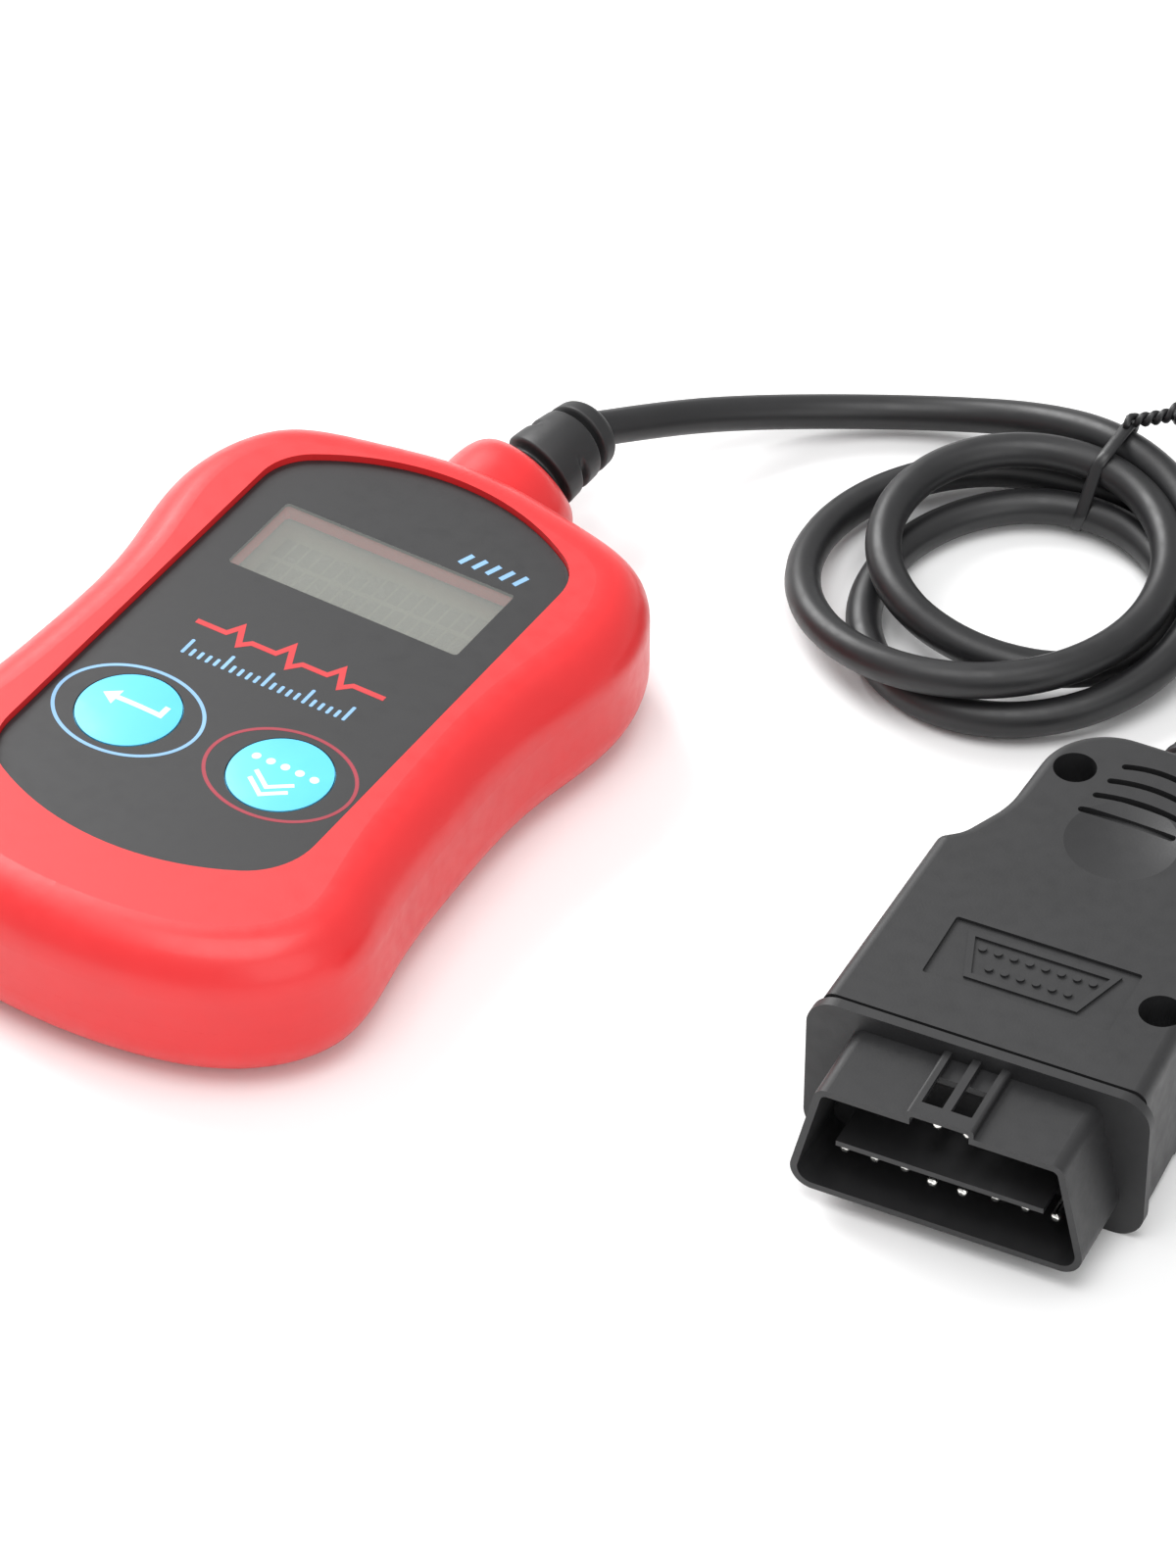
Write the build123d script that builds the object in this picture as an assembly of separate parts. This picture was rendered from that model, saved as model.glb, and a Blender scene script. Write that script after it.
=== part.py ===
from build123d import *
import os
from math import cos, pi, radians, sin, tan

# OBD code reader: a palm-sized handset, its cable wound in a small tied coil, and the car-side plug.
# Millimetres, +Z up. The handset lies on its back on the floor plane z = 0, with its cable end towards
# +Y. The origin is on the floor below the middle of the handset and its strain relief.

# ---------------------------------------------------------------- driving dimensions: handset covers
BODY_HEIGHT = 21.7
PARTING_Z = 10.0
COVER_WALL = 2.2
TOP_EDGE_RADIUS = 7.1
BOTTOM_EDGE_RADIUS = 7.3
COVER_INNER_RADIUS = 3.5
INSET_POINTS = 24
CASE_SPAN = 300
PAST = 1.0
# Right half of the outline, from the lower end to the cable end; the left half mirrors it.
HALF_OUTLINE = [
    (0, -64.7),
    (17, -62.7),
    (30, -56.2),
    (35.9, -46.5),
    (34.6, -33),
    (32.8, -16),
    (33.0, 4),
    (35.0, 20),
    (28, 35.7),
    (17, 39.8),
    (0, 42.3),
]

# Front: a recess holds the printed overlay, with the display window and the two keys.
OVERLAY_STEP = 1.0
OVERLAY_THICKNESS = 0.5
OVERLAY_HALF_WIDTH = 23.3
OVERLAY_TOP_Y = 35.25
OVERLAY_BOTTOM_Y = -48.25
OVERLAY_TOP_ARC = 36.0
OVERLAY_BOTTOM_ARC = 38.0
OVERLAY_TOP_CORNER = 8.0
OVERLAY_BOTTOM_CORNER = 10.0
OVERLAY_GAP = 0.1
OVERLAY_Z = BODY_HEIGHT - OVERLAY_STEP
RECESS_Z = OVERLAY_Z - OVERLAY_THICKNESS
CEILING_Z = RECESS_Z - 2.4
LABEL_Y = -14.0
LABEL_SIZE = (36.0, 46.0)
LABEL_LOW = 0.08
LABEL_HIGH = 0.33

WINDOW_X = 0.2
WINDOW_Y = 13.2
WINDOW_WIDTH = 35.5
WINDOW_HEIGHT = 14.1
WINDOW_CORNER = 0.6

KEY_X = 11.64
KEY_Y = -25.15
KEY_RADIUS = 6.9
KEY_GAP = 0.2
KEY_CROWN = 0.35
KEY_FLANGE_RADIUS = 8.2
KEY_FLANGE_THICKNESS = 1.0
KEY_TRAVEL = 0.5
KEY_STEM_RADIUS = 2.5
SWITCH_WIDTH = 6.0
SWITCH_BASE_HEIGHT = 3.4
PLUNGER_RADIUS = 1.7
PLUNGER_STAND = 1.0
PLUNGER_DEPTH = 1.2

# Cable neck and ribbed strain relief.
NECK_Z = 10.0
NECK_END_Y = 53.0
NECK_END_Z = 10.1
NECK_TURN = 15.0
NECK_RISE = 25.0
# Sections of the collar: along, up, radius, and the share of the end face's turn and rise.
NECK_SECTIONS = [
    (36.0, 10.0, 9.6, 0.0),
    (45.0, 10.0, 9.6, 0.0),
    (49.6, 10.1, 8.9, 0.45),
    (NECK_END_Y, NECK_END_Z, 6.7, 1.0),
]
NECK_START_Y = 36.0
NECK_LIP = 3.5
NECK_EXIT_BORE = 5.3
NECK_BORE = 4.8
BOOT_FLANGE_RADIUS = 6.6
BOOT_FLANGE_Y = 41.6
BOOT_FLANGE_END_Y = 43.9
BOOT_GAP = 0.5
BOOT_RINGS = 3
BOOT_RING_LENGTH = 2.85
BOOT_GROOVE_LENGTH = 0.9
BOOT_START_RADIUS = 6.0
BOOT_END_RADIUS = 4.9
BOOT_CORE_RADIUS = 4.3
BOOT_END_TURN = 5.0

# Circuit boards and screws.
BOARD_THICKNESS = 1.6
MAIN_BOARD_Z = 11.2
MAIN_BOARD_WIDTH = 47.0
MAIN_BOARD_LENGTH = 88.0
MAIN_BOARD_Y = -8.0
BOARD_TOP_Z = MAIN_BOARD_Z + BOARD_THICKNESS
BOARD_SCREWS = [(-20, -46), (20, -46), (-20, 32), (20, 32)]
BOARD_SCREW_RADIUS = 0.9
CASE_SCREWS = [(-27.5, -44), (27.5, -44), (-27.5, 22), (27.5, 22)]
CASE_SCREW_RADIUS = 1.2
CASE_HEAD_RADIUS = 2.3
CASE_HEAD_HEIGHT = 1.6
CASE_HEAD_SINK = 3.0
CASE_SCREW_END_Z = 15.0
BOARD_HEAD_RADIUS = 1.8
BOARD_HEAD_HEIGHT = 1.3
BOARD_SCREW_END_Z = 16.2
SWITCH_TOP_Z = BOARD_TOP_Z + SWITCH_BASE_HEIGHT
PLUNGER_TOP_Z = SWITCH_TOP_Z + PLUNGER_STAND

# Display module, from the main board up.
HEADER_HEIGHT = 0.8
LCD_BOARD_Z = BOARD_TOP_Z + HEADER_HEIGHT
LCD_BOARD_THICKNESS = 1.2
LCD_BOARD_WIDTH = 47.0
LCD_BOARD_HEIGHT = 27.0
BACKLIGHT_THICKNESS = 1.0
GLASS_THICKNESS = 1.5
GLASS_WIDTH = 43.0
GLASS_HEIGHT = 19.5
BEZEL_SHEET = 0.35
BACKLIGHT_Z = LCD_BOARD_Z + LCD_BOARD_THICKNESS
GLASS_Z = BACKLIGHT_Z + BACKLIGHT_THICKNESS
GLASS_TOP_Z = GLASS_Z + GLASS_THICKNESS
HEADER_Y = 24.6
HEADER_PINS = 14
HEADER_PITCH = 2.54

# Chips under the main board: x, y, width, length, legs on a side, their pitch, legs on all four sides.
CHIP_HEIGHT = 1.6
CHIPS = {
    "microcontroller": (0, -6, 10, 10, 11, 0.8, True),
    "bus_transceiver": (-1, 14, 4, 5, 4, 1.27, False),
    "memory_chip": (1, -30, 4, 5, 4, 1.27, False),
}
# Electrolytic capacitors: x, y, radius.
CAPACITORS = [(-14.5, 14.0, 3.15), (-14.5, 22.0, 2.5), (15.0, 1.0, 2.5)]
CAPACITOR_HEIGHT = 5.4
CAPACITOR_FOOT = 0.8
CRYSTAL_PLACE = (13.5, -14.0)
CRYSTAL_HEIGHT = 3.5
REGULATOR_PLACE = (13.0, 12.0)
REGULATOR_HEIGHT = 2.3

# Header, plug and wires that join the cable to the main board.
SOCKET_Y = 29.5
SOCKET_HEIGHT = 5.4
SOCKET_PLUG_Z = MAIN_BOARD_Z - 2.7
SOCKET_PLUG_END_Y = 33.8
WIRES = 5
WIRE_RADIUS = 0.6
WIRE_PITCH = 2.3
WIRE_RING = 1.45
JACKET_Y = 41.0

# Cable.
CORD_DIAMETER = 4.9
CORD_RADIUS = CORD_DIAMETER / 2

# Car-side plug, in its own frame: y is the distance behind the mating face, x across, z up.
PLUG_FACE = (113.8, -35.36)
PLUG_YAW = 6.76
SHROUD_DEPTH = 11.7
SHROUD_BOTTOM_Z = 2.9
SHROUD_TOP_Z = 20.0
SHROUD_NARROW = 16.2
SHROUD_WIDE = 20.1
SHROUD_WALL = 0.95
KEYWAY_HALF_WIDTH = 4.5
KEYWAY_RISE = 1.2
KEYWAY_END = 8.2
KEYWAY_RIB_HALF_WIDTH = 0.55
KEYWAY_SLOT_WIDTH = 2.75
KEYWAY_SLOT_START = 2.2
FLANGE_WIDTH = 45.4
PLUG_HEIGHT = 22.6
FLANGE_THICKNESS = 1.5
FLANGE_CORNER = 4.0
FLANGE_BACK = SHROUD_DEPTH + FLANGE_THICKNESS
PLUG_END = 73.9
PLUG_MID_Z = PLUG_HEIGHT / 2
PLUG_WALL = 2.0
CONTACT_PITCH = 4.0
CONTACT_RADIUS = 0.75
CONTACT_TIP = 4.2
GROUND_CONTACT_TIP = 3.3
CONTACT_TAIL = 24.0
CONTACT_BLOCK_END = 20.0
CONTACT_ROWS = [6.8, 15.8]
DIVIDER_Z = 11.1
DIVIDER_HALF_WIDTH = 13.7
DIVIDER_THICKNESS = 0.8
PLUG_SCREWS = [(17.3, 28.0), (-9.4, 64.9)]
PLUG_SCREW_BORE = 2.8
PLUG_SCREW_RADIUS = 1.3
PLUG_SCREW_END_Z = 4.6
PLUG_SCREW_SEAT = PLUG_MID_Z + 2.5
PLUG_POST_RADIUS = 3.9
PLUG_JACKET_END = 60.0
PLUG_WIRED = [(-14.0, 6.8), (-10.0, 6.8), (-2.0, 15.8), (6.0, 15.8), (10.0, 15.8)]
SHELL_EDGE_RADIUS = 1.8
SHELL_SEAM = 0.45
SHELL_LIP_WIDTH = 41.9
PLUG_LABEL = (24.8, 11.0)
PLUG_LABEL_AT = (0.5, 27.5)
PLUG_LABEL_DEPTH = 0.45
THUMB_AT = (1.2, 54.6)
THUMB_RADIUS = 30.0
THUMB_DEPTH = 0.9
GRIP_GROOVES = 4
GRIP_GROOVE_X = 0.5
GRIP_GROOVE_Y = 58.3
GRIP_GROOVE_PITCH = 3.25
GRIP_GROOVE_DEPTH = 1.0
RELIEF_NECK = 4.0
RELIEF_START = 5.0
RELIEF_END = 4.2
RELIEF_CORE_RADIUS = 3.4
RELIEF_LENGTH = 12.0
RELIEF_RINGS = 4
RELIEF_FLANGE_Y = PLUG_END - 4.2

# Coil of cable beside the handset, and the tie round its strands.
COIL_CENTRE = (59.8, 73.2)
COIL_OUTER = 29.8
COIL_INNER = 13.5
COIL_HEIGHT = 11.5
COIL_EDGE_RADIUS = 2.2
TIE_X = 62.5
TIE_Y = 98.8
TIE_LENGTH = 17.0
TIE_HEIGHT = 13.8
TIE_THICKNESS = 1.2
TIE_WIDTH = 1.8
TIE_TWIST_START = (62.5, 104.0, 12.2)
TIE_TWIST_HEADING = (0.85, 0.25, 0.2)
TIE_TWIST_LENGTH = 9.0
TIE_TWIST_RADIUS = 1.3

# Free runs of cable: from the handset into the coil, and from the coil to the plug.
LEAD_ROUTE = [
    (1.7, 63.2, 11.8),
    (6.0, 71.9, 9.4),
    (12.1, 82.4, 6.3),
    (22.2, 93.6, 3.4),
    (35.5, 101.8, 3.2),
    (49.5, 105.0, 6.0),
    (62.5, 103.2, 9.0),
    (75.5, 98.0, 7.5),
]
TAIL_ROUTE = [
    (66.0, 100.2, 2.5),
    (79.0, 100.2, 2.55),
    (90.8, 94.4, 2.6),
    (98.8, 83.9, 3.6),
    (101.8, 71.2, 6.8),
    (102.4, 59.9, 10.4),
    (103.84, 48.64, 11.3),
]


# ---------------------------------------------------------------- helpers
def cylinder_z(x, y, radius, low, high):
    return extrude(Plane.XY.offset(low) * Pos(x, y) * Circle(radius), amount=high - low)


def box(x, y, width, length, low, high):
    return extrude(Plane.XY.offset(low) * Pos(x, y) * Rectangle(width, length), amount=high - low)


def prism(outline, low, high):
    return extrude(Plane.XY.offset(low) * outline, amount=high - low)


def prism_y(outline, start, end):
    """Extrudes an outline drawn in the XZ plane from y = start to y = end."""
    return extrude(Plane.XZ.offset(-start) * outline, amount=start - end)


def cylinder_y(x, z, radius, start, end):
    return prism_y(Pos(x, z) * Circle(radius), start, end)


def heading(turn, rise):
    """The direction that is turned to the right of +Y and lifted, in degrees."""
    turn, rise = radians(turn), radians(rise)
    return Vector(sin(turn) * cos(rise), cos(turn) * cos(rise), sin(rise))


def polygon(points):
    return make_face(Polyline(*points, close=True))


def in_plug(shape):
    return Location((*PLUG_FACE, 0), (0, 0, PLUG_YAW)) * shape


def tube(points, radii, radius):
    path = FilletPolyline(*points, radius=radii)
    start = Plane(origin=path @ 0, z_dir=path % 0)
    return sweep(start * Circle(radius), path=path)


def screw(x, y, head_low, head_high, head_radius, shank_end, shank_radius):
    """A cross-slotted screw driven in from below."""
    head = cylinder_z(x, y, head_radius, head_low, head_high)
    head = fillet(head.edges().group_by(Axis.Z)[0], radius=0.3)
    slot_top = head_low + (head_high - head_low) * 0.55
    head -= box(x, y, head_radius * 1.2, 0.5, head_low - PAST, slot_top)
    head -= box(x, y, 0.5, head_radius * 1.2, head_low - PAST, slot_top)
    return head + cylinder_z(x, y, shank_radius, head_high, shank_end)


# ---------------------------------------------------------------- handset covers
def body_plan(inset=0.0):
    """The outline of the covers from above, or one that runs a wall's thickness inside it."""
    left = [(-x, y) for x, y in reversed(HALF_OUTLINE[1:-1])]
    edge = Spline(*HALF_OUTLINE, *left, periodic=True)
    if inset:
        points = []
        for i in range(INSET_POINTS):
            along = edge % (i / INSET_POINTS)
            points.append(edge @ (i / INSET_POINTS) + Vector(-along.Y, along.X) * inset)
        edge = Spline(*points, periodic=True)
    return make_face(edge)


def rounded_block(plan, low, high, low_radius, high_radius):
    block = prism(plan, low, high)
    block = fillet(block.edges().group_by(Axis.Z)[-1], radius=high_radius)
    return fillet(block.edges().group_by(Axis.Z)[0], radius=low_radius)


def neck():
    """The swollen collar that the cable leaves by; its end face leans back and to the right."""
    sections = []
    for y, z, radius, share in NECK_SECTIONS:
        turn = NECK_TURN * share
        across = heading(turn + 90, 0)
        place = Plane(origin=(0, y, z), x_dir=across, z_dir=heading(turn, NECK_RISE * share))
        sections.append(place * Circle(radius))
    return loft(sections)


def overlay_plan(inset=0.0):
    """A tall panel with gently arched ends and round corners."""
    tall = Rectangle(2 * (OVERLAY_HALF_WIDTH - inset), CASE_SPAN)
    top = Pos(0, OVERLAY_TOP_Y - OVERLAY_TOP_ARC) * Circle(OVERLAY_TOP_ARC - inset)
    bottom = Pos(0, OVERLAY_BOTTOM_Y + OVERLAY_BOTTOM_ARC) * Circle(OVERLAY_BOTTOM_ARC - inset)
    upper = Pos(0, WINDOW_Y + CASE_SPAN / 2) * Rectangle(CASE_SPAN, CASE_SPAN)
    lower = Pos(0, WINDOW_Y - CASE_SPAN / 2) * Rectangle(CASE_SPAN, CASE_SPAN)
    top_half = tall & top & upper
    bottom_half = tall & bottom & lower
    top_half = fillet(top_half.vertices().group_by(Axis.Y)[-1], radius=OVERLAY_TOP_CORNER - inset)
    bottom_half = fillet(bottom_half.vertices().group_by(Axis.Y)[0], radius=OVERLAY_BOTTOM_CORNER - inset)
    return top_half + bottom_half


def window_plan(margin=0.0):
    size = (WINDOW_WIDTH + 2 * margin, WINDOW_HEIGHT + 2 * margin)
    return Pos(WINDOW_X, WINDOW_Y) * RectangleRounded(*size, WINDOW_CORNER)


def label_plan(margin=0.0):
    width, length = LABEL_SIZE
    return Pos(0, LABEL_Y) * RectangleRounded(width + 2 * margin, length + 2 * margin, 3)


def whole_shell():
    """Both covers as one hollow body, with the neck and its bore."""
    inner = body_plan(COVER_WALL)
    outside = rounded_block(body_plan(), 0, BODY_HEIGHT, BOTTOM_EDGE_RADIUS, TOP_EDGE_RADIUS)
    inside = rounded_block(inner, COVER_WALL, CEILING_Z, BOTTOM_EDGE_RADIUS - COVER_WALL, COVER_INNER_RADIUS)
    lip_y = NECK_END_Y - NECK_LIP
    shell = outside + neck() - inside
    shell -= cylinder_y(0, NECK_Z, NECK_BORE, NECK_START_Y, lip_y)
    shell -= cylinder_y(0, NECK_Z, NECK_EXIT_BORE, lip_y, NECK_END_Y + NECK_LIP)
    shell -= cylinder_y(0, NECK_Z, BOOT_FLANGE_RADIUS, NECK_START_Y - 2, BOOT_FLANGE_END_Y + 0.1)
    return shell


def front_cover(shell):
    cover = shell & box(0, 0, CASE_SPAN, CASE_SPAN, PARTING_Z, BODY_HEIGHT + PAST)
    post_top = CEILING_Z + 0.3
    for x, y in CASE_SCREWS:
        cover += cylinder_z(x, y, 3.0, PARTING_Z, post_top)
        cover -= cylinder_z(x, y, CASE_SCREW_RADIUS, PARTING_Z - PAST, CASE_SCREW_END_Z + 0.4)
    for x, y in BOARD_SCREWS:
        cover += cylinder_z(x, y, 2.4, BOARD_TOP_Z, post_top)
        cover -= cylinder_z(x, y, BOARD_SCREW_RADIUS, BOARD_TOP_Z - PAST, BOARD_SCREW_END_Z + 0.4)
    cover -= prism(overlay_plan(), RECESS_Z, BODY_HEIGHT + PAST)
    cover -= prism(window_plan(0.3), CEILING_Z - PAST, RECESS_Z + PAST)
    for side in (-1, 1):
        cover -= cylinder_z(side * KEY_X, KEY_Y, KEY_FLANGE_RADIUS + 0.4, CEILING_Z - PAST, RECESS_Z + PAST)
    return cover


def rear_cover(shell):
    cover = shell & box(0, 0, CASE_SPAN, CASE_SPAN, -PAST, PARTING_Z)
    for x, y in CASE_SCREWS:
        cover += cylinder_z(x, y, 3.9, COVER_WALL / 2, PARTING_Z)
        cover -= cylinder_z(x, y, CASE_HEAD_RADIUS + 0.3, -PAST, CASE_HEAD_SINK)
        cover -= cylinder_z(x, y, CASE_SCREW_RADIUS + 0.2, -PAST, PARTING_Z + PAST)
    return cover - prism(label_plan(0.2), -PAST, LABEL_HIGH + 0.02)


def keypad_overlay():
    sheet = prism(overlay_plan(OVERLAY_GAP), RECESS_Z, OVERLAY_Z)
    sheet -= prism(window_plan(), RECESS_Z - PAST, OVERLAY_Z + PAST)
    for side in (-1, 1):
        sheet -= cylinder_z(side * KEY_X, KEY_Y, KEY_RADIUS + KEY_GAP, RECESS_Z - PAST, OVERLAY_Z + PAST)
    return sheet


def case_screws():
    low = CASE_HEAD_SINK - CASE_HEAD_HEIGHT
    sizes = (low, CASE_HEAD_SINK, CASE_HEAD_RADIUS, CASE_SCREW_END_Z, CASE_SCREW_RADIUS)
    return Compound(children=[screw(x, y, *sizes) for x, y in CASE_SCREWS])


# ---------------------------------------------------------------- keys and their switches
def key_cap(side):
    """A round key: a crowned face, a flange that stops under the overlay, and a stem."""
    flange_top = RECESS_Z - 0.1
    flange_low = flange_top - KEY_FLANGE_THICKNESS
    rim_z = OVERLAY_Z + 0.05
    top_z = rim_z + KEY_CROWN
    crown = ThreePointArc((0, top_z), (KEY_RADIUS * 0.55, rim_z + KEY_CROWN * 0.72), (KEY_RADIUS, rim_z))
    sides = Polyline(
        (KEY_RADIUS, rim_z),
        (KEY_RADIUS, flange_top),
        (KEY_FLANGE_RADIUS, flange_top),
        (KEY_FLANGE_RADIUS, flange_low),
        (KEY_STEM_RADIUS, flange_low),
        (KEY_STEM_RADIUS, PLUNGER_TOP_Z),
        (0, PLUNGER_TOP_Z),
        (0, top_z),
    )
    half = make_face([Plane.XZ * crown, *(Plane.XZ * sides).edges()])
    return Pos(side * KEY_X, KEY_Y, 0) * revolve(half, axis=Axis.Z)


def switch_plunger(side):
    return cylinder_z(side * KEY_X, KEY_Y, PLUNGER_RADIUS, SWITCH_TOP_Z - PLUNGER_DEPTH, PLUNGER_TOP_Z)


def switch_base(side):
    """The body of a push switch, its bore deep enough for the plunger's travel, and its four legs."""
    x = side * KEY_X
    bore_low = SWITCH_TOP_Z - PLUNGER_DEPTH - KEY_TRAVEL - 0.3
    base = box(x, KEY_Y, SWITCH_WIDTH, SWITCH_WIDTH, BOARD_TOP_Z, SWITCH_TOP_Z)
    base = fillet(base.edges().filter_by(Axis.Z), radius=0.5)
    base -= cylinder_z(x, KEY_Y, PLUNGER_RADIUS + 0.12, bore_low, SWITCH_TOP_Z + PAST)
    for end in (-1, 1):
        for row in (-1, 1):
            base += box(x + end * 3.5, KEY_Y + row * 2.2, 1.2, 0.7, BOARD_TOP_Z, BOARD_TOP_Z + 0.9)
    return base


# ---------------------------------------------------------------- boards and display
def main_board():
    plan = Pos(0, MAIN_BOARD_Y) * RectangleRounded(MAIN_BOARD_WIDTH, MAIN_BOARD_LENGTH, 2.5)
    board = prism(plan, MAIN_BOARD_Z, BOARD_TOP_Z)
    for x, y in BOARD_SCREWS:
        board -= cylinder_z(x, y, BOARD_SCREW_RADIUS + 0.15, MAIN_BOARD_Z - PAST, BOARD_TOP_Z + PAST)
    return board


def board_screws():
    low = MAIN_BOARD_Z - BOARD_HEAD_HEIGHT
    sizes = (low, MAIN_BOARD_Z, BOARD_HEAD_RADIUS, BOARD_SCREW_END_Z, BOARD_SCREW_RADIUS)
    return Compound(children=[screw(x, y, *sizes) for x, y in BOARD_SCREWS])


def lcd_board():
    return prism(
        Pos(0, WINDOW_Y) * RectangleRounded(LCD_BOARD_WIDTH, LCD_BOARD_HEIGHT, 1.0),
        LCD_BOARD_Z,
        BACKLIGHT_Z,
    )


def lcd_bezel():
    """A folded metal frame round the glass, open over the viewing area."""
    rim_z = GLASS_TOP_Z + BEZEL_SHEET
    viewing = (WINDOW_WIDTH + 2.6, WINDOW_HEIGHT + 2.6)
    frame = box(0, WINDOW_Y, GLASS_WIDTH + 2, GLASS_HEIGHT + 2, BACKLIGHT_Z, rim_z)
    frame = fillet(frame.edges().filter_by(Axis.Z), radius=1.0)
    frame -= box(0, WINDOW_Y, GLASS_WIDTH + 0.4, GLASS_HEIGHT + 0.4, BACKLIGHT_Z - PAST, GLASS_TOP_Z)
    return frame - box(WINDOW_X, WINDOW_Y, *viewing, BACKLIGHT_Z, rim_z + PAST)


def lcd_pin_header():
    """A strip of square pins between the two boards."""
    strip = box(0, HEADER_Y, 40, 2.2, BOARD_TOP_Z, LCD_BOARD_Z - 0.3)
    for i in range(HEADER_PINS):
        x = (i - (HEADER_PINS - 1) / 2) * HEADER_PITCH
        strip += box(x, HEADER_Y, 0.64, 0.64, BOARD_TOP_Z, LCD_BOARD_Z)
    return strip


def chip(x, y, width, length, legs, pitch, four_sided):
    """A chip under the main board, with flat legs along two or four sides."""
    leg_low = MAIN_BOARD_Z - 0.45
    body = box(x, y, width, length, MAIN_BOARD_Z - CHIP_HEIGHT, MAIN_BOARD_Z - 0.15)
    body = chamfer(body.edges().group_by(Axis.Z)[0], length=0.2)
    for i in range(legs):
        shift = (i - (legs - 1) / 2) * pitch
        for side in (-1, 1):
            body += box(x + side * (width / 2 + 0.4), y + shift, 1.2, 0.3, leg_low, MAIN_BOARD_Z)
            if four_sided:
                body += box(x + shift, y + side * (length / 2 + 0.4), 0.3, 1.2, leg_low, MAIN_BOARD_Z)
    return body


def crystal():
    can = prism(Pos(*CRYSTAL_PLACE) * SlotOverall(11.0, 4.6), MAIN_BOARD_Z - CRYSTAL_HEIGHT, MAIN_BOARD_Z)
    return fillet(can.edges().group_by(Axis.Z)[0], radius=0.6)


def voltage_regulator():
    """A three-legged power package with its tab."""
    x, y = REGULATOR_PLACE
    leg_low = MAIN_BOARD_Z - 0.6
    body = box(x, y, 6.6, 6.1, MAIN_BOARD_Z - REGULATOR_HEIGHT, MAIN_BOARD_Z)
    body += box(x, y + 3.8, 5.2, 1.6, leg_low, MAIN_BOARD_Z)
    for shift in (-2.3, 0, 2.3):
        body += box(x + shift, y - 3.9, 0.8, 1.9, leg_low, MAIN_BOARD_Z)
    return body


def capacitors():
    foot_z = MAIN_BOARD_Z - CAPACITOR_FOOT
    cans = []
    for x, y, radius in CAPACITORS:
        can = cylinder_z(x, y, radius, MAIN_BOARD_Z - CAPACITOR_HEIGHT, foot_z)
        can = fillet(can.edges().group_by(Axis.Z)[0], radius=0.3)
        can += box(x, y, 2 * radius + 0.3, 2 * radius + 0.3, foot_z, MAIN_BOARD_Z)
        cans.append(can)
    return Compound(children=cans)


def chip_passives():
    """Small resistors and capacitors in rows under the main board."""
    chips = []
    for row in range(3):
        for column in range(5):
            place = (-16 + column * 2.8, -20 - row * 4.0)
            chips.append(box(*place, 1.6, 0.85, MAIN_BOARD_Z - 0.55, MAIN_BOARD_Z))
    return Compound(children=chips)


# ---------------------------------------------------------------- where the cable enters the handset
def cable_socket():
    """The shrouded header for the cable, opening towards the cable end."""
    shroud = box(0, SOCKET_Y, 14.0, 6.0, MAIN_BOARD_Z - SOCKET_HEIGHT, MAIN_BOARD_Z)
    return shroud - box(0, SOCKET_Y + 1, 12.4, 6.0, MAIN_BOARD_Z - SOCKET_HEIGHT + 0.8, MAIN_BOARD_Z - 0.8)


def cable_socket_plug():
    length = 6.2
    block = box(0, SOCKET_PLUG_END_Y - length / 2, 12.2, length, MAIN_BOARD_Z - 4.5, MAIN_BOARD_Z - 0.9)
    for i in range(WIRES):
        x = (i - (WIRES - 1) / 2) * WIRE_PITCH
        block -= cylinder_y(x, SOCKET_PLUG_Z, WIRE_RADIUS, SOCKET_PLUG_END_Y - 1.8, SOCKET_PLUG_END_Y + 0.2)
    return block


def wire_ends():
    """Where the wires sit in the end of the cable's jacket, from left to right: across and up."""
    angles = [radians(90 + i * 360 / WIRES) for i in range(WIRES)]
    return sorted((WIRE_RING * cos(angle), WIRE_RING * sin(angle)) for angle in angles)


def handset_wires():
    wires = []
    for i, (across, up) in enumerate(wire_ends()):
        x = (i - (WIRES - 1) / 2) * WIRE_PITCH
        route = [
            (x, SOCKET_PLUG_END_Y - 1.8, SOCKET_PLUG_Z),
            (x, SOCKET_PLUG_END_Y + 1.4, SOCKET_PLUG_Z),
            (across, JACKET_Y - 2.7, NECK_Z + up),
            (across, JACKET_Y, NECK_Z + up),
        ]
        wires.append(tube(route, 1.2, WIRE_RADIUS))
    return Compound(children=wires)


def strain_relief():
    """The boot moulded on the cable: a lock flange inside, a neck, and rings that lean with the collar."""
    lip_y = NECK_END_Y - NECK_LIP + 0.1
    boot = cylinder_y(0, NECK_Z, BOOT_FLANGE_RADIUS - 0.1, BOOT_FLANGE_Y, BOOT_FLANGE_END_Y)
    boot += cylinder_y(0, NECK_Z, NECK_BORE - 0.1, BOOT_FLANGE_END_Y, lip_y)
    boot += cylinder_y(0, NECK_Z, NECK_EXIT_BORE - 0.1, lip_y, NECK_END_Y + BOOT_GAP)
    at = Vector(0, NECK_END_Y, NECK_END_Z) + heading(NECK_TURN, NECK_RISE) * BOOT_GAP
    steps = 2 * BOOT_RINGS
    for step in range(steps):
        share = (step + 0.5) / steps
        along = heading(NECK_TURN + (BOOT_END_TURN - NECK_TURN) * share, NECK_RISE * (1 - share) ** 2)
        if step % 2 == 0:
            length = BOOT_GROOVE_LENGTH
            radius = BOOT_CORE_RADIUS
        else:
            length = BOOT_RING_LENGTH
            radius = BOOT_START_RADIUS + (BOOT_END_RADIUS - BOOT_START_RADIUS) * share
        boot += extrude(Plane(origin=at - along * 0.2, z_dir=along) * Circle(radius), amount=length + 0.2)
        at += along * length
    print("boot ends at", [round(value, 2) for value in at])
    return boot


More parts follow.
